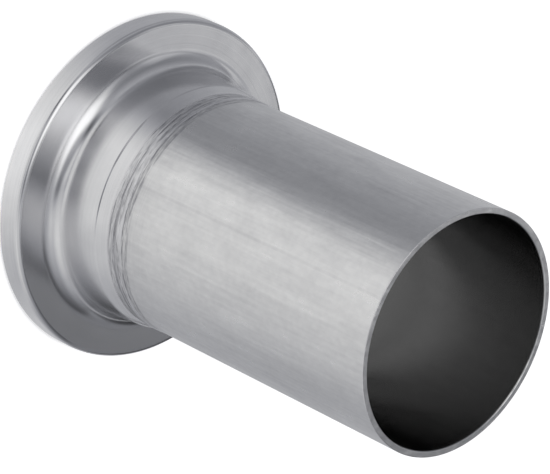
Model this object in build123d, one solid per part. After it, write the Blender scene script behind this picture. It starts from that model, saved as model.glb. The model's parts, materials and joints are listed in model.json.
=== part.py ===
from build123d import *
import math
import os

# Lap joint stub end in stainless steel, for a DN 65 line: a turned collar with a weld neck,
# a length of thin-walled pipe, and the orbital butt weld that joins them.
# Millimetres. The gasket face stands on Z = 0 and the pipe rises along +Z.

# Driving dimensions of the pipe
pipe_outer_diameter = 76.1
pipe_wall = 2.0
overall_length = 140.0
mouth_outer_round = 0.25
mouth_inner_bevel = 0.35

# Driving dimensions of the collar
collar_diameter = 110.0
collar_thickness = 8.4
lap_edge_round = 1.7
gasket_edge_round = 0.5
bore_edge_round = 0.8

# Driving dimensions of the weld neck, from the collar up
root_fillet = 5.5
hub_base_diameter = 81.6
hub_top_diameter = 78.6
hub_top_height = 25.7
hub_top_break = 0.3
taper_foot_height = 30.3

# Driving dimensions of the weld
weld_height = 34.6
weld_cap_width = 3.2
weld_root_width = 2.0
weld_crown = 0.22

# Worked out from the driving dimensions
outer_radius = pipe_outer_diameter / 2
bore_radius = outer_radius - pipe_wall
collar_radius = collar_diameter / 2
hub_base_radius = hub_base_diameter / 2
hub_top_radius = hub_top_diameter / 2
half_cap = weld_cap_width / 2
half_root = weld_root_width / 2


def turned(outline):
    """Revolves a closed outline, drawn as radius and height, once round the axis."""
    return revolve(Plane.XZ * outline, axis=Axis.Z)


def corner(outline, radius, height):
    """Picks the corner of an outline that lies nearest to a radius and height."""
    return outline.vertices().sort_by_distance((radius, height))[0]


# Collar: one turned piece, the lapped disc, its filleted hub and the weld neck
def make_collar():
    disc_and_neck = make_face(
        Polyline(
            (bore_radius, 0),
            (collar_radius, 0),
            (collar_radius, collar_thickness),
            (hub_base_radius, collar_thickness),
            (hub_top_radius, hub_top_height - hub_top_break / 2),
            (hub_top_radius - hub_top_break, hub_top_height + hub_top_break / 2),
            (outer_radius, taper_foot_height),
            (outer_radius, weld_height - half_cap),
            (bore_radius, weld_height - half_root),
            close=True,
        )
    )
    # The lap face runs into the hub by a large fillet, which keeps the loose flange off the neck.
    # A small break marks where the hub ends and the weld taper begins.
    outline = fillet(corner(disc_and_neck, hub_base_radius, collar_thickness), root_fillet)
    outline = fillet(corner(outline, collar_radius, collar_thickness), lap_edge_round)
    outline = fillet(corner(outline, collar_radius, 0), gasket_edge_round)
    outline = fillet(corner(outline, bore_radius, 0), bore_edge_round)
    return turned(outline)


# Weld seam: a ring that fills the bevelled gap, slightly crowned outside and flush in the bore
def make_weld_seam():
    lower_toe = (outer_radius, weld_height - half_cap)
    upper_toe = (outer_radius, weld_height + half_cap)
    crown_top = (outer_radius + weld_crown, weld_height)
    upper_root = (bore_radius, weld_height + half_root)
    lower_root = (bore_radius, weld_height - half_root)
    cap = ThreePointArc(lower_toe, crown_top, upper_toe)
    sides = Polyline(upper_toe, upper_root, lower_root, lower_toe)
    return turned(make_face(cap + sides))


# Pipe: thin-walled tube, bevelled at the weld and deburred at the mouth
def make_pipe():
    wall = make_face(
        Polyline(
            (bore_radius, weld_height + half_root),
            (outer_radius, weld_height + half_cap),
            (outer_radius, overall_length),
            (bore_radius, overall_length),
            close=True,
        )
    )
    outline = fillet(corner(wall, outer_radius, overall_length), mouth_outer_round)
    outline = chamfer(corner(outline, bore_radius, overall_length), mouth_inner_bevel)
    return turned(outline)


# Exports
os.makedirs("parts", exist_ok=True)
solids = {
    "collar": make_collar(),
    "weld_seam": make_weld_seam(),
    "pipe": make_pipe(),
}
for name, solid in solids.items():
    export_step(solid, f"parts/{name}.step")
    size = solid.bounding_box().size
    print(f"{name}: {solid.volume:.0f} mm3, {size.X:.1f} x {size.Y:.1f} x {size.Z:.1f} mm")

hub_slope = math.degrees(math.atan2(hub_base_radius - hub_top_radius, hub_top_height - collar_thickness))
taper_drop = hub_top_radius - hub_top_break - outer_radius
taper_slope = math.degrees(math.atan2(taper_drop, taper_foot_height - hub_top_height))
print(f"hub taper {hub_slope:.1f} degrees, weld taper {taper_slope:.1f} degrees")
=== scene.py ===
import json
import math

import bpy
import numpy as np
from mathutils import Matrix, Vector


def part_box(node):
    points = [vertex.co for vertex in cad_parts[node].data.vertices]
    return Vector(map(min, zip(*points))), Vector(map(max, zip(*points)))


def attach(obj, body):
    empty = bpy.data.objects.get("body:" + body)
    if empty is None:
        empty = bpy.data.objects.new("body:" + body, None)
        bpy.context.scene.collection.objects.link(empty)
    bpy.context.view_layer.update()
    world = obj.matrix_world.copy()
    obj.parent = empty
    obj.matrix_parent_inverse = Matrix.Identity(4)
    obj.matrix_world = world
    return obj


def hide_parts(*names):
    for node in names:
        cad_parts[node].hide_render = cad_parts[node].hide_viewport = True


# Lap joint stub end: a turned stainless collar with a weld neck, butt-welded to a thin-walled pipe.
# Metres. It stands on its gasket face at z = 0, with the bore along +Z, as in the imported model.

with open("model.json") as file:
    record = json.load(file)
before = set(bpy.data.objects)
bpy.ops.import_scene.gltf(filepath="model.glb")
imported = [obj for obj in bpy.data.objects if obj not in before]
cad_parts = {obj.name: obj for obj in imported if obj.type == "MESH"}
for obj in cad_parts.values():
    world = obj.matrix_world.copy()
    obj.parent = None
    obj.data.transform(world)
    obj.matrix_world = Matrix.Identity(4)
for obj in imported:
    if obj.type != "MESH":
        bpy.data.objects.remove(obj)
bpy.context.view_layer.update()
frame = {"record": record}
mm = 0.001

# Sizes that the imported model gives
mounts = {m["name"]: m for m in frame["record"]["mounts"]}
boreRadius = mounts["through_bore"]["dims"]["r_mm"] * mm
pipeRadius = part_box("pipe")[1].x
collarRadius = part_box("collar")[1].x
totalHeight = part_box("pipe")[1].z


# Geometry helpers

# Steps of each rounding arc, and in mm: the spacing along a side, how far from a side's ends its first
# points lie, and the distance under which two points are one
outlineDetail = {"arcSteps": 8, "sideStep": 2.0, "crisp": 0.06, "same": 0.0001}


# Each corner is (radius, height, rounding). The rounding arc touches both sides of the corner: it starts
# rounding / tan(half the corner's angle) along each side, and its centre lies on the bisector.
# Straight sides over four crisp distances long get points in between, the first and last of them close to
# the side's ends, so that shading stays flat there.
def roundedOutline(corners):
    sideStep, crisp = outlineDetail["sideStep"] * mm, outlineDetail["crisp"] * mm
    points = []
    for i, (radius, height, rounding) in enumerate(corners):
        corner = np.array((radius, height))
        before = np.array(corners[i - 1][:2]) - corner
        after = np.array(corners[(i + 1) % len(corners)][:2]) - corner
        before /= np.linalg.norm(before)
        after /= np.linalg.norm(after)
        half = 0.5 * math.acos(float(np.clip(before @ after, -1, 1)))
        reach = rounding / math.tan(half)
        centre = corner + (before + after) / np.linalg.norm(before + after) * rounding / math.sin(half)
        start = corner + before * reach - centre
        end = corner + after * reach - centre
        sweep = math.pi - 2 * half
        t = np.linspace(0, 1, outlineDetail["arcSteps"] + 1)[:, None]
        points.append(centre + (np.sin((1 - t) * sweep) * start + np.sin(t * sweep) * end) / math.sin(sweep))
    outline = []
    for arc, following in zip(points, points[1:] + points[:1]):
        outline.append(arc)
        side = following[0] - arc[-1]
        length = float(np.linalg.norm(side))
        if length > 4 * crisp:
            inner = np.linspace(crisp, length - crisp, max(2, int(length / sideStep) + 2))
            outline.append(arc[-1] + side / length * inner[:, None])
    outline = np.vstack(outline)
    apart = np.linalg.norm(outline - np.roll(outline, 1, axis=0), axis=1) > outlineDetail["same"] * mm
    return outline[apart]


# A closed outline of (radius, height) carried once round Z: the point at angle a is
# (radius cos a, radius sin a, height).
# The attribute "along" holds the distance in mm from the outline's first point, measured along the outline,
# so that a material can draw rings at their true spacing on flat, round and sloping parts alike.
def lathe(name, outline, segments):
    angle = np.linspace(0, 2 * math.pi, segments, endpoint=False)
    radius = np.repeat(outline[:, 0][None, :], segments, axis=0)
    height = np.repeat(outline[:, 1][None, :], segments, axis=0)
    around = np.repeat(angle[:, None], len(outline), axis=1)
    grid = np.stack([radius * np.cos(around), radius * np.sin(around), height], axis=-1)
    rows, columns = grid.shape[:2]
    i, j = np.meshgrid(np.arange(rows), np.arange(columns), indexing="ij")
    nextRow, nextColumn = (i + 1) % rows, (j + 1) % columns
    quads = np.stack([i * columns + j, nextRow * columns + j,
                      nextRow * columns + nextColumn, i * columns + nextColumn], axis=-1)
    mesh = bpy.data.meshes.new(name)
    mesh.from_pydata(grid.reshape(-1, 3).tolist(), [], quads.reshape(-1, 4).tolist())
    mesh.shade_smooth()
    mesh.update()
    steps = np.linalg.norm(np.diff(outline, axis=0), axis=1)
    along = np.concatenate([[0.0], np.cumsum(steps)]) / mm
    distances = mesh.attributes.new("along", "FLOAT", "POINT")
    distances.data.foreach_set("value", np.tile(along, rows).astype(np.float32))
    piece = bpy.data.objects.new(name, mesh)
    bpy.context.scene.collection.objects.link(piece)
    return piece


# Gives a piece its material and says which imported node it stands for
def dress(piece, node, material):
    piece.data.materials.append(material)
    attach(piece, "root")
    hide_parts(node)
    print(f"{piece.name}: {len(piece.data.polygons)} faces, stands for {node}")


# Material helpers

# sRGB hex to linear: v / 12.92 near black, else ((v + 0.055) / 1.055) ^ 2.4, for each channel v from 0 to 1
def linearColour(hexCode):
    values = [int(hexCode[i:i + 2], 16) / 255 for i in (1, 3, 5)]
    return (*[v / 12.92 if v <= 0.04045 else ((v + 0.055) / 1.055) ** 2.4 for v in values], 1.0)


# Adds one node, with its settings and, by socket name or number, a value or a link for each input,
# and gives back one of its outputs.
def addNode(tree, kind, settings=None, inputs=None, output=0):
    node = tree.nodes.new(kind)
    for key, value in (settings or {}).items():
        setattr(node, key, value)
    for key, value in (inputs or {}).items():
        if isinstance(value, bpy.types.NodeSocket):
            tree.links.new(value, node.inputs[key])
        else:
            node.inputs[key].default_value = value
    return node.outputs[output] if node.outputs else node


# Sockets of a Mix node that mixes colours: it has several of each name, so they go by number
mixShare, mixFirst, mixSecond, mixResult = 0, 6, 7, 2


def newMaterial(name):
    material = bpy.data.materials.new(name)
    material.use_nodes = True
    material.node_tree.nodes.clear()
    return material, material.node_tree


# Noise from 0 to 1 whose grains measure size = (x, y, z) mm on the object
def grain(tree, place, size):
    stretched = addNode(tree, "ShaderNodeVectorMath", {"operation": "MULTIPLY"},
                        {0: place, 1: [1 / (length * mm) for length in size]})
    return addNode(tree, "ShaderNodeTexNoise", {}, {"Vector": stretched, "Scale": 1.0, "Detail": 2.0})


# start + the sum of weight * (value - 0.5) over the pairs (value, weight), kept from 0 to 1 if it is a share
def mixture(tree, start, pairs, share=False):
    total = start - 0.5 * sum(weight for _, weight in pairs)
    for i, (value, weight) in enumerate(pairs):
        last = i == len(pairs) - 1
        total = addNode(tree, "ShaderNodeMath", {"operation": "MULTIPLY_ADD", "use_clamp": share and last},
                        {0: value, 1: weight, 2: total})
    return total


# 1 while the value lies from low to high, falling smoothly to 0 over edge on either side
def band(tree, value, low, high, edge):
    fromMiddle = addNode(tree, "ShaderNodeMath", {"operation": "SUBTRACT"}, {0: value, 1: (low + high) / 2})
    away = addNode(tree, "ShaderNodeMath", {"operation": "ABSOLUTE"}, {0: fromMiddle})
    return addNode(tree, "ShaderNodeMapRange", {"interpolation_type": "SMOOTHSTEP"},
                   {"Value": away, "From Min": (high - low) / 2 + edge, "From Max": (high - low) / 2})


# Object coordinates of a point, and in mm its height and its distance from the axis
def position(tree):
    place = addNode(tree, "ShaderNodeTexCoord", output="Object")
    height = addNode(tree, "ShaderNodeSeparateXYZ", {}, {0: place}, output="Z")
    height = addNode(tree, "ShaderNodeMath", {"operation": "DIVIDE"}, {0: height, 1: mm})
    flat = addNode(tree, "ShaderNodeVectorMath", {"operation": "MULTIPLY"},
                   {0: place, 1: (1 / mm, 1 / mm, 0)})
    fromAxis = addNode(tree, "ShaderNodeVectorMath", {"operation": "LENGTH"}, {0: flat}, output="Value")
    return place, height, fromAxis


boreLimit = {"beyond": 0.1, "edge": 0.15}   # mm


# 1 on the bore's wall, 0 outside it
def boreWall(tree, fromAxis):
    return band(tree, fromAxis, 0, boreRadius / mm + boreLimit["beyond"], boreLimit["edge"])


# Traces of welding, shared by the three pieces so that they run on across the seam: a wandering zone that was
# wire-brushed round the pipe, with dull strands and short dashes along the brush's path, and soft dark
# lines: where the neck's taper ends, at the bead's two toes, and where the brush last ran on the pipe.
weldTrace = {"zone": (30.8, 38.6), "edge": 0.9,                        # heights and edge in mm
             "wander": 1.2, "dashWander": 0.2, "wanderLength": 26.0,   # mm
             # Each line: height in mm, depth as a share
             "lines": [(31.2, 0.22), (32.9, 0.38), (34.8, 0.38), (36.6, 0.32), (38.2, 0.22)],
             "lineEdge": 0.8, "strands": (10, 10, 0.45), "dashes": (2.6, 2.6, 0.35),    # mm
             "ground": 0.20, "groundShares": (1.7, 1.0), "lineShares": (1.4, 1.4)}     # of strands, dashes


# The zone, and how dull a point in it is, both from 0 to 1
def weldTraces(tree, place, height):
    trace = weldTrace
    strands, dashes = grain(tree, place, trace["strands"]), grain(tree, place, trace["dashes"])
    wander = grain(tree, place, [trace["wanderLength"]] * 3)
    offset = mixture(tree, 0.0, [(wander, trace["wander"]), (dashes, trace["dashWander"])])
    level = addNode(tree, "ShaderNodeMath", {"operation": "ADD"}, {0: height, 1: offset})
    zone = band(tree, level, *trace["zone"], trace["edge"])
    dull = mixture(tree, trace["ground"], list(zip((strands, dashes), trace["groundShares"])), share=True)
    for lineHeight, depth in trace["lines"]:
        line = band(tree, level, lineHeight, lineHeight, trace["lineEdge"])
        worn = mixture(tree, depth, list(zip((strands, dashes), trace["lineShares"])), share=True)
        dull = addNode(tree, "ShaderNodeMath", {"operation": "MULTIPLY_ADD", "use_clamp": True},
                       {0: line, 1: worn, 2: dull})
    return zone, addNode(tree, "ShaderNodeMath", {"operation": "MULTIPLY"}, {0: zone, 1: dull})


# Metal surface from a colour, a roughness and a relief in mm. Only a look with a spread is anisotropic:
# its highlights then lie across the rings about Z.
def finishMetal(tree, look, colour, roughness, relief):
    normal = addNode(tree, "ShaderNodeBump", {}, {"Strength": 1.0, "Distance": mm, "Height": relief})
    inputs = {"Base Color": colour, "Metallic": 1.0, "Roughness": roughness, "Normal": normal}
    if "spread" in look:
        inputs["Anisotropic"] = look["spread"]
        inputs["Anisotropic Rotation"] = look["spreadTurn"]
        inputs["Tangent"] = addNode(tree, "ShaderNodeTangent", {"direction_type": "RADIAL", "axis": "Z"})
    metal = addNode(tree, "ShaderNodeBsdfPrincipled", {}, inputs)
    addNode(tree, "ShaderNodeOutputMaterial", {}, {"Surface": metal})


# Turned stainless steel. The tool leaves rings a few tenths of a millimetre apart, which spread the light
# across them: broad fans of light and dark on the flat of the collar, crisp lines on its rounded edges.
turnedLook = {"bright": "#e1e1e2", "dull": "#d3d3d5", "bore": "#989898", "welded": "#8d8d92",
              "roughness": 0.18, "weldRoughness": 0.12,
              "spread": 0.5, "spreadTurn": 0.25,                                  # share, share of a turn
              "fineRing": 0.35, "broadRing": 1.4, "haze": (9, 9, 9),              # mm
              "fineRelief": 0.0004, "broadRelief": 0.0006, "weldRelief": 0.006,   # mm
              "shadeShares": (0.5, 0.3, 1.0), "roughnessShares": (0.02, 0.02, 0.05)}   # of fine, broad, haze

# Painted shade: a dark line at the hub's break, painted to match the photo, on one side, standing in for
# the shade at the small step there. A point's reach is how far it lies from the axis towards the azimuth.
# The line is full from the lower reach on, and gone where a point falls short of that by the fade.
hubBreakShade = {"azimuth": 256, "reach": (38.85, 60), "fade": 1.1,         # degrees, mm, mm
           "heights": (25.58, 25.82), "edge": 0.22, "depth": 0.75}    # mm, mm, share of the dull colour


# How dark the painted shade line is at a point, from 0 to its depth
def paintedBreakShade(tree, place, height):
    turn = math.radians(hubBreakShade["azimuth"])
    reach = addNode(tree, "ShaderNodeVectorMath", {"operation": "DOT_PRODUCT"},
                    {0: place, 1: (math.cos(turn) / mm, math.sin(turn) / mm, 0)}, output="Value")
    side = band(tree, reach, *hubBreakShade["reach"], hubBreakShade["fade"])
    line = band(tree, height, *hubBreakShade["heights"], hubBreakShade["edge"])
    line = addNode(tree, "ShaderNodeMath", {"operation": "MULTIPLY"}, {0: line, 1: side})
    return addNode(tree, "ShaderNodeMath", {"operation": "MULTIPLY"}, {0: line, 1: hubBreakShade["depth"]})


def turnedStainless():
    look = turnedLook
    material, tree = newMaterial("turnedStainless")
    place, height, fromAxis = position(tree)
    along = addNode(tree, "ShaderNodeAttribute", {"attribute_name": "along"}, output="Fac")
    fine, broad = [
        addNode(tree, "ShaderNodeTexNoise", {"noise_dimensions": "1D"},
                {"W": along, "Scale": 1 / look[ring], "Detail": 1.0}) for ring in ("fineRing", "broadRing")]
    haze = grain(tree, place, look["haze"])
    zone, dull = weldTraces(tree, place, height)
    shade = mixture(tree, 0.5, list(zip((fine, broad, haze), look["shadeShares"])), share=True)
    colour = addNode(tree, "ShaderNodeMix", {"data_type": "RGBA"},
                     {mixShare: shade, mixFirst: linearColour(look["bright"]),
                      mixSecond: linearColour(look["dull"])}, output=mixResult)
    # worn holds the weld's dull traces and the painted shade line at the hub's break, both taken towards the
    # welded colour
    worn = addNode(tree, "ShaderNodeMath", {"operation": "MAXIMUM"},
                   {0: dull, 1: paintedBreakShade(tree, place, height)})
    colour = addNode(tree, "ShaderNodeMix", {"data_type": "RGBA"},
                     {mixShare: worn, mixFirst: colour,
                      mixSecond: linearColour(look["welded"])}, output=mixResult)
    # The bore's darker colour is painted shade inside the bore
    colour = addNode(tree, "ShaderNodeMix", {"data_type": "RGBA"},
                     {mixShare: boreWall(tree, fromAxis), mixFirst: colour,
                      mixSecond: linearColour(look["bore"])}, output=mixResult)
    roughness = mixture(tree, look["roughness"], list(zip((fine, broad, haze), look["roughnessShares"])))
    roughness = addNode(tree, "ShaderNodeMath", {"operation": "MULTIPLY_ADD"},
                        {0: zone, 1: look["weldRoughness"], 2: roughness})
    relief = mixture(tree, 0.0, [(fine, look["fineRelief"]), (broad, look["broadRelief"]),
                                 (dull, -look["weldRelief"])])
    finishMetal(tree, look, colour, roughness, relief)
    return material


# Wire-brushed weld metal: a dull, mottled bead with brush marks round the pipe.
beadLook = {"bright": "#d6d6d8", "dull": "#88888c", "bore": "#8c8c8c",
            "roughness": 0.33, "relief": 0.012, "mottle": (3.4, 3.4, 1.6),   # mm
            "shade": 0.4, "shadeShares": (0.9, 0.6), "roughnessShares": (0.08, 0.10)}   # of dull, mottle


def brushedWeld():
    look = beadLook
    material, tree = newMaterial("brushedWeld")
    place, height, fromAxis = position(tree)
    _, dull = weldTraces(tree, place, height)
    mottle = grain(tree, place, look["mottle"])
    shade = mixture(tree, look["shade"], list(zip((dull, mottle), look["shadeShares"])), share=True)
    colour = addNode(tree, "ShaderNodeMix", {"data_type": "RGBA"},
                     {mixShare: shade, mixFirst: linearColour(look["bright"]),
                      mixSecond: linearColour(look["dull"])}, output=mixResult)
    # The bore's darker colour is painted shade inside the bore
    colour = addNode(tree, "ShaderNodeMix", {"data_type": "RGBA"},
                     {mixShare: boreWall(tree, fromAxis), mixFirst: colour,
                      mixSecond: linearColour(look["bore"])}, output=mixResult)
    roughness = mixture(tree, look["roughness"], list(zip((dull, mottle), look["roughnessShares"])))
    relief = mixture(tree, 0.0, [(dull, -look["relief"]), (mottle, look["relief"])])
    finishMetal(tree, look, colour, roughness, relief)
    return material


# Pickled stainless pipe, rolled from strip and seam-welded. The acid leaves it evenly dull and faintly
# blotched; long, slightly uneven strokes run along it, the planished seam shows as one thin line, and near
# the weld the brush has left marks round it. Inside it is smoother, and its darker colour is painted shade.
pipeLook = {"bright": "#dfdfdf", "dull": "#bcbcbe", "bore": "#989898", "welded": "#8d8d92",
            "roughness": 0.30, "boreRoughness": 0.17, "weldRoughness": 0.05,
            "strokes": (1.2, 1.2, 40), "waves": (3.6, 3.6, 60), "blotches": (7, 7, 12),
            "dabs": (1.7, 1.7, 2.2), "brushMarks": (14, 14, 0.5),
            "brushed": (0, 38), "brushFade": 14,                            # mm, as the five above
            "strokeRelief": 0.012, "waveRelief": 0.16, "blotchRelief": 0.10, "dabRelief": 0.008,
            "brushRelief": 0.004, "weldRelief": 0.006, "seamRelief": 0.006,   # mm
            "boreSmoothing": 0.85,
            "shadeShares": (0.5, 0.4, 0.6, 0.5, 0.4),      # of strokes, waves, blotches, dabs, brush marks
            "roughnessShares": (0.05, 0.05, 0.08, 0.05),   # of the first four
            "seamAzimuth": 270.5, "seamWidth": 0.35, "seamEdge": 0.5,   # degrees, mm, mm
            "seamReach": (20, 60), "seamReachEdge": 1, "seamShare": 0.18}   # mm from the axis, mm, share


def pickledPipe():
    look = pipeLook
    material, tree = newMaterial("pickledPipe")
    place, height, fromAxis = position(tree)
    strokes, waves, blotches, dabs, brushMarks = [
        grain(tree, place, look[pattern])
        for pattern in ("strokes", "waves", "blotches", "dabs", "brushMarks")]
    brushed = band(tree, height, *look["brushed"], look["brushFade"])
    brushMarks = addNode(tree, "ShaderNodeMath", {"operation": "MULTIPLY"}, {0: brushed, 1: brushMarks})
    zone, dull = weldTraces(tree, place, height)
    # Distances of a point from the half plane through the axis and the seam, and along it
    seam = math.radians(look["seamAzimuth"])
    beside, outward = [
        addNode(tree, "ShaderNodeVectorMath", {"operation": "DOT_PRODUCT"},
                {0: place, 1: (math.cos(turn) / mm, math.sin(turn) / mm, 0)}, output="Value")
        for turn in (seam + math.pi / 2, seam)]
    seamLine = band(tree, beside, -look["seamWidth"] / 2, look["seamWidth"] / 2, look["seamEdge"])
    seamSide = band(tree, outward, *look["seamReach"], look["seamReachEdge"])
    seamLine = addNode(tree, "ShaderNodeMath", {"operation": "MULTIPLY"}, {0: seamLine, 1: seamSide})
    patterns = (strokes, waves, blotches, dabs, brushMarks)
    shade = mixture(tree, 0.5, list(zip(patterns, look["shadeShares"])) + [(seamLine, look["seamShare"])],
                    share=True)
    colour = addNode(tree, "ShaderNodeMix", {"data_type": "RGBA"},
                     {mixShare: shade, mixFirst: linearColour(look["bright"]),
                      mixSecond: linearColour(look["dull"])}, output=mixResult)
    colour = addNode(tree, "ShaderNodeMix", {"data_type": "RGBA"},
                     {mixShare: dull, mixFirst: colour,
                      mixSecond: linearColour(look["welded"])}, output=mixResult)
    inBore = boreWall(tree, fromAxis)
    # The bore's darker colour is painted shade inside the bore
    colour = addNode(tree, "ShaderNodeMix", {"data_type": "RGBA"},
                     {mixShare: inBore, mixFirst: colour,
                      mixSecond: linearColour(look["bore"])}, output=mixResult)
    roughness = mixture(tree, look["roughness"], list(zip(patterns[:4], look["roughnessShares"])))
    roughness = addNode(tree, "ShaderNodeMath", {"operation": "MULTIPLY_ADD"},
                        {0: inBore, 1: look["boreRoughness"] - look["roughness"], 2: roughness})
    roughness = addNode(tree, "ShaderNodeMath", {"operation": "MULTIPLY_ADD"},
                        {0: zone, 1: look["weldRoughness"], 2: roughness})
    relief = mixture(tree, 0.0, [(strokes, look["strokeRelief"]), (waves, look["waveRelief"]),
                                 (blotches, look["blotchRelief"]), (dabs, look["dabRelief"]),
                                 (brushMarks, look["brushRelief"]), (dull, -look["weldRelief"]),
                                 (seamLine, -look["seamRelief"])])
    smoother = mixture(tree, 1 - look["boreSmoothing"] / 2, [(inBore, -look["boreSmoothing"])])
    relief = addNode(tree, "ShaderNodeMath", {"operation": "MULTIPLY"}, {0: relief, 1: smoother})
    finishMetal(tree, look, colour, roughness, relief)
    return material


# Sizes of the three pieces in mm, other than the counts of segments and points.
# Collar: disc, filleted hub and weld neck in one turned piece
collarSize = {"thickness": 8.4, "lapRound": 1.7, "gasketRound": 0.5, "boreRound": 0.8, "rootFillet": 5.5,
              "hubBase": 40.8, "hubTop": 39.3, "hubTopHeight": 25.7, "hubBreak": 0.3,
              "taperFoot": 30.3, "edge": 0.08, "segments": 512}
weldSize = {"height": 34.6, "capWidth": 3.2, "rootWidth": 2.0, "crown": 0.22, "segments": 720,
            "capPoints": 25, "rootPoints": 5}
pipeSize = {"mouthRound": 0.25, "mouthBevel": 0.35, "edge": 0.06, "segments": 512}


# Corners from the bore's foot out along the gasket face, up the outside and down the weld's bevel
def makeCollar():
    s = {key: value * mm for key, value in collarSize.items()}
    lowerToe = (weldSize["height"] - weldSize["capWidth"] / 2) * mm
    lowerRoot = (weldSize["height"] - weldSize["rootWidth"] / 2) * mm
    outline = roundedOutline([
        (boreRadius, 0, s["boreRound"]),
        (collarRadius, 0, s["gasketRound"]),
        (collarRadius, s["thickness"], s["lapRound"]),
        (s["hubBase"], s["thickness"], s["rootFillet"]),
        (s["hubTop"], s["hubTopHeight"] - s["hubBreak"] / 2, s["edge"]),
        (s["hubTop"] - s["hubBreak"], s["hubTopHeight"] + s["hubBreak"] / 2, s["edge"]),
        (pipeRadius, s["taperFoot"], s["edge"]),
        (pipeRadius, lowerToe, s["edge"]),
        (boreRadius, lowerRoot, s["edge"]),
    ])
    piece = lathe("turnedCollar", outline, collarSize["segments"])
    dress(piece, "collar", turnedStainless())


# The cap is a parabola: pipe's radius + crown * (1 - across^2), with across from -1 to 1 over its width.
# The root is flush with the bore, and straight flanks join the two.
def makeWeld():
    middle = weldSize["height"] * mm
    halfCap, halfRoot = weldSize["capWidth"] * mm / 2, weldSize["rootWidth"] * mm / 2
    crown = weldSize["crown"] * mm
    across = np.linspace(-1, 1, weldSize["capPoints"])
    back = np.linspace(halfRoot, -halfRoot, weldSize["rootPoints"])
    cap = np.stack([pipeRadius + crown * (1 - across ** 2), middle + across * halfCap], axis=-1)
    root = np.stack([np.full(len(back), boreRadius), middle + back], axis=-1)
    piece = lathe("weldBead", np.vstack([cap, root]), weldSize["segments"])
    dress(piece, "weld_seam", brushedWeld())


# Corners from the weld's root up its bevel and the outside, over the mouth and back down the bore
def makePipe():
    upperToe = (weldSize["height"] + weldSize["capWidth"] / 2) * mm
    upperRoot = (weldSize["height"] + weldSize["rootWidth"] / 2) * mm
    edge, bevel = pipeSize["edge"] * mm, pipeSize["mouthBevel"] * mm
    outline = roundedOutline([
        (boreRadius, upperRoot, edge),
        (pipeRadius, upperToe, edge),
        (pipeRadius, totalHeight, pipeSize["mouthRound"] * mm),
        (boreRadius + bevel, totalHeight, edge),
        (boreRadius, totalHeight - bevel, edge),
    ])
    piece = lathe("weldedPipe", outline, pipeSize["segments"])
    dress(piece, "pipe", pickledPipe())


makeCollar()
makeWeld()
makePipe()

# Camera: fitted to the outlines of the mouth, the pipe and the collar in the 550 x 474 frame
photo = {
    "width": 550, "height": 474,
    "focalLength": 3723.0,            # pixels
    "mouthCentre": (457.96, 333.72),  # pixels from the frame's top left corner
    "elevation": 41.21,               # degrees above the collar's plane
    "roll": 115.21,                   # degrees about the line of sight
    "distance": 1.0659,               # metres from the camera to the mouth's plane, along the line of sight
}
sensorWidth = 36.0   # mm


# It tilts 90 degrees minus the elevation about X after rolling about Z, and stands where the mouth's centre,
# at the distance along the line of sight, falls on its pixel.
def makeCamera():
    turn = (Matrix.Rotation(math.radians(90 - photo["elevation"]), 3, "X")
            @ Matrix.Rotation(math.radians(photo["roll"]), 3, "Z"))
    perPixel = photo["distance"] / photo["focalLength"]
    mouthInView = Vector(((photo["mouthCentre"][0] - photo["width"] / 2) * perPixel,
                          (photo["height"] / 2 - photo["mouthCentre"][1]) * perPixel,
                          -photo["distance"]))
    data = bpy.data.cameras.new("camera")
    data.sensor_width = sensorWidth
    data.lens = photo["focalLength"] / photo["width"] * sensorWidth
    camera = bpy.data.objects.new("camera", data)
    mouth = Vector((0, 0, totalHeight))
    camera.matrix_world = Matrix.Translation(mouth - turn @ mouthInView) @ turn.to_4x4()
    bpy.context.scene.collection.objects.link(camera)
    bpy.context.scene.camera = camera
    print(f"camera: {data.lens:.1f} mm lens, {photo['distance']:.3f} m from the mouth")


makeCamera()


# Stage: everything that is not the object. Directions are an azimuth in degrees from +X towards +Y
# and an elevation in degrees above the floor. The camera looks from azimuth 270.

def stageMesh(name, points, faces, material, glow=None):
    mesh = bpy.data.meshes.new(name)
    mesh.from_pydata(points, [], faces)
    mesh.materials.append(material)
    if glow is not None:
        levels = mesh.attributes.new("glow", "FLOAT", "POINT")
        levels.data.foreach_set("value", np.asarray(glow, np.float32))
    thing = bpy.data.objects.new(name, mesh)
    bpy.context.scene.collection.objects.link(thing)
    print(f"{name}: {len(faces)} faces, stage")
    return thing


# Glowing cloth or paper. Where it is dim it is a cooler white, which gives steel its bluish darks.
glowTint = {"dim": "#f5f7ff", "bright": "#ffffff", "dimLevel": 0.25, "brightLevel": 0.9}


def glowMaterial(name):
    material, tree = newMaterial(name)
    level = addNode(tree, "ShaderNodeAttribute", {"attribute_name": "glow"}, output="Fac")
    share = addNode(tree, "ShaderNodeMapRange", {"interpolation_type": "SMOOTHSTEP"},
                    {"Value": level, "From Min": glowTint["dimLevel"], "From Max": glowTint["brightLevel"]})
    dim, bright = linearColour(glowTint["dim"]), linearColour(glowTint["bright"])
    tint = addNode(tree, "ShaderNodeMix", {"data_type": "RGBA"},
                   {mixShare: share, mixFirst: dim, mixSecond: bright}, output=mixResult)
    light = addNode(tree, "ShaderNodeEmission", {}, {"Color": tint, "Strength": level})
    addNode(tree, "ShaderNodeOutputMaterial", {}, {"Surface": light})
    return material


# Faces of a grid of rows x columns points whose columns run once round and meet again
def ringFaces(rows, columns):
    i, j = np.meshgrid(np.arange(rows - 1), np.arange(columns), indexing="ij")
    k = (j + 1) % columns
    return np.stack([i * columns + j, i * columns + k, (i + 1) * columns + k, (i + 1) * columns + j],
                    axis=-1).reshape(-1, 4).tolist()


# A fall from 1 to 0 with level ends: s^2 (3 - 2s), where s is the share kept from 0 to 1
def smoothShare(share):
    share = np.clip(share, 0, 1)
    return share ** 2 * (3 - 2 * share)


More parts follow.
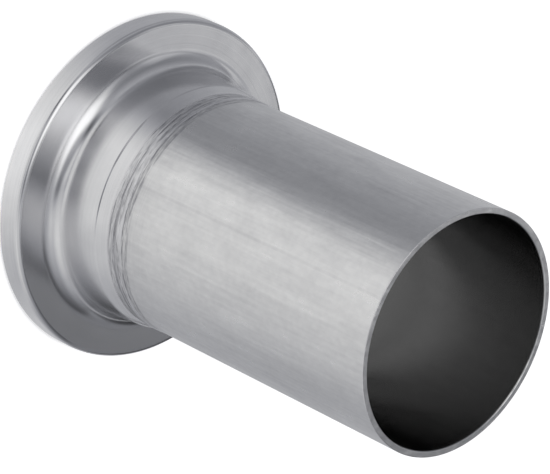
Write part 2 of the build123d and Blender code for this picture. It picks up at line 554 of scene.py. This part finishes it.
# Light tent: white cloth all round, lit from behind by oval lamps and darkened by flags, which are lamps of
# negative level. A lamp's glow is level * smoothShare((1 - q) / softness), where q is the angle from its
# middle over its half width or half height, as on an ellipse. The glows add up over the cloth's own grey,
# and no point glows less than the least.
# Where the numbers come from: the first nine lamps are the output of a scratch program that fitted this tent
# to the photo's tones and rounded it to 5 degrees and 0.05. Three of their levels were corrected since, and
# the two soft flags at the end, the cloth and the least were set by trial. The purposes were read off after.
tentLight = {
    "radius": 2.6,                                # metres
    "rows": 91, "columns": 240, "lowest": -2,     # points up and round, elevation in degrees of the lowest
    "cloth": 0.06,
    "least": 0.03,
    "lamps": [   # azimuth, elevation, half width, half height and turn in degrees, softness, level
        (335, 15, 90, 70, 170, 1.0, 0.80),    # broad light at the front right, on the pipe's bright side
        (195, 10, 85, 90, 175, 0.25, 0.45),   # broad light at the left, on the rim
        (270, 40, 25, 50, 130, 0.75, -1.0),   # flag in front, for the pipe's dark band and the dark lap
        (260, 55, 65, 30, 115, 0.5, 0.60),    # light above it, on the hub
        (285, 70, 70, 40, 40, 0.5, 0.40),     # overhead light
        (175, 40, 90, 45, 30, 1.0, -0.25),    # flag behind on the left
        (105, 40, 10, 45, 25, 0.25, 0.55),    # strip behind, for the bright fan on the lap
        (130, 65, 10, 40, 110, 0.25, -0.22),  # slim flag beside it
        (90, 45, 10, 60, 115, 0.25, 0.20),    # strip behind on the right
        (112, 40, 10, 18, 0, 1.0, -0.35),     # soft flag beside the strip, for the even fillet at the top
        (112, 15, 22, 14, 0, 1.0, -0.20),     # and one below it
    ],
}


# A grid of elevation and azimuth on a sphere about the origin
def makeTent():
    rows, columns = tentLight["rows"], tentLight["columns"]
    elevation = np.radians(np.linspace(tentLight["lowest"], 90, rows))[:, None] * np.ones((1, columns))
    azimuth = np.linspace(0, 2 * math.pi, columns, endpoint=False)[None, :] * np.ones((rows, 1))
    direction = np.stack([np.cos(azimuth) * np.cos(elevation), np.sin(azimuth) * np.cos(elevation),
                          np.sin(elevation)], axis=-1).reshape(-1, 3)
    glow = np.full(len(direction), tentLight["cloth"])
    for lampAzimuth, lampElevation, halfWidth, halfHeight, turn, softness, level in tentLight["lamps"]:
        a, e, t = math.radians(lampAzimuth), math.radians(lampElevation), math.radians(turn)
        middle = np.array([math.cos(a) * math.cos(e), math.sin(a) * math.cos(e), math.sin(e)])
        sideways = np.array([-math.sin(a), math.cos(a), 0])
        upwards = np.cross(middle, sideways)
        apart = np.degrees(np.arccos(np.clip(direction @ middle, -1, 1)))
        around = np.arctan2(direction @ upwards, direction @ sideways) - t
        q = apart * np.hypot(np.cos(around) / halfWidth, np.sin(around) / halfHeight)
        glow = glow + level * smoothShare((1 - q) / softness)
    tent = stageMesh("lightTent", (direction * tentLight["radius"]).tolist(), ringFaces(rows, columns),
                     glowMaterial("tentCloth"), np.maximum(glow, tentLight["least"]))
    tent.visible_camera = False


# Soft grey cards laid on the floor, some right beside the collar and some further out, and one under the
# bore. Only the metal's reflections see them. Over the paper's grey, a card adds
# level * smoothShare(1 - q), where q is the angle from its azimuth over its half width. Most cards began as
# the same program's output, and several were then corrected by trial.
floorCards = {
    "inner": 55.3, "besideTo": 62.0, "openFrom": 68.0, "middle": 160, "outer": 2000.0,   # mm from the axis
    "boreInner": 0.5, "bore": 34.0, "above": 0.15,   # mm from the axis, and above the floor
    "boreColumns": 90,
    # The card under the bore glows as painted light, seen in the bore's reflections
    "underBore": 1.0, "least": 0.02,
    "besidePaper": 0.48,
    # Each card: azimuth and half width in degrees, level
    "besideCards": [(90, 55, 0.15), (345, 50, 0.14), (275, 55, 0.54)],
    "openPaper": 0.20,
    "openCards": [(325, 70, 0.50), (120, 150, 0.38), (290, 35, 0.35), (255, 40, 0.70), (35, 55, 0.15)],
}


# Grey at each whole degree of azimuth, as said above, and never under the least
def cardGreys(paper, cards):
    azimuth = np.arange(360)
    greys = np.full(len(azimuth), paper)
    for middle, halfWidth, level in cards:
        q = abs((azimuth - middle + 180) % 360 - 180) / halfWidth
        greys = greys + level * smoothShare(1 - q)
    return np.maximum(greys, floorCards["least"])


# A flat ring just above the floor, with a grey for each radius and azimuth. Only glossy rays see it.
def greyRing(name, radii, greys, material):
    greys = np.asarray(greys)
    azimuth = np.linspace(0, 2 * math.pi, greys.shape[1], endpoint=False)
    circle = np.stack([np.cos(azimuth), np.sin(azimuth), np.zeros_like(azimuth)], axis=-1)
    points = np.asarray(radii)[:, None, None] * mm * circle + np.array((0, 0, floorCards["above"] * mm))
    ring = stageMesh(name, points.reshape(-1, 3).tolist(), ringFaces(*greys.shape), material, greys.ravel())
    ring.visible_camera = False
    ring.visible_diffuse = False
    ring.visible_transmission = False
    ring.visible_shadow = False


def makeCards():
    c = floorCards
    paper = glowMaterial("cardPaper")
    beside = cardGreys(c["besidePaper"], c["besideCards"])
    further = cardGreys(c["openPaper"], c["openCards"])
    greyRing("greyCards", [c["inner"], c["besideTo"], c["openFrom"], c["middle"], c["outer"]],
             [beside, beside, further, further, further], paper)
    # Painted light: the card under the bore glows white where the floor lies in the bore's shade, and only
    # reflections see it
    greyRing("boreCard", [c["boreInner"], c["bore"]], np.full((2, c["boreColumns"]), c["underBore"]), paper)


# Pale floor. Its paper scatters the tent's light and so keeps the object's soft shadow; for the camera and
# for reflections a lift brings the open floor up to white, but not under the object: it grows smoothly from
# nothing to its full strength between two distances from the axis.
floorLook = {"paper": "#e8e8e8", "lift": 0.72,
             "liftFrom": 53.0, "liftTo": 56.5,   # mm from the axis
             "reach": 6.0}                       # metres from the middle to each side


def makeFloor():
    material, tree = newMaterial("paleFloor")
    paper = addNode(tree, "ShaderNodeBsdfDiffuse", {}, {"Color": linearColour(floorLook["paper"])})
    place = addNode(tree, "ShaderNodeTexCoord", output="Object")
    fromAxis = addNode(tree, "ShaderNodeVectorMath", {"operation": "LENGTH"}, {0: place}, output="Value")
    openFloor = addNode(tree, "ShaderNodeMapRange", {"interpolation_type": "SMOOTHSTEP"}, {
        "Value": fromAxis, "From Min": floorLook["liftFrom"] * mm, "From Max": floorLook["liftTo"] * mm,
        "To Min": 0.0, "To Max": floorLook["lift"]})
    seen = 0.0
    for kind in ("Is Camera Ray", "Is Glossy Ray", "Is Transmission Ray"):
        ray = addNode(tree, "ShaderNodeLightPath", output=kind)
        seen = addNode(tree, "ShaderNodeMath", {"operation": "MAXIMUM"}, {0: seen, 1: ray})
    strength = addNode(tree, "ShaderNodeMath", {"operation": "MULTIPLY"}, {0: seen, 1: openFloor})
    lift = addNode(tree, "ShaderNodeEmission", {}, {"Color": (1, 1, 1, 1), "Strength": strength})
    both = addNode(tree, "ShaderNodeAddShader", {}, {0: paper, 1: lift})
    addNode(tree, "ShaderNodeOutputMaterial", {}, {"Surface": both})
    reach = floorLook["reach"]
    stageMesh("floor", [(-reach, -reach, 0), (reach, -reach, 0), (reach, reach, 0), (-reach, reach, 0)],
              [(0, 1, 2, 3)], material)


makeTent()
makeCards()
makeFloor()

world = bpy.data.worlds.new("studio")
world.use_nodes = True
background = world.node_tree.nodes["Background"]
background.inputs["Color"].default_value = (1, 1, 1, 1)
background.inputs["Strength"].default_value = 1.0
bpy.context.scene.world = world

view = bpy.context.scene.view_settings
view.view_transform = "Standard"
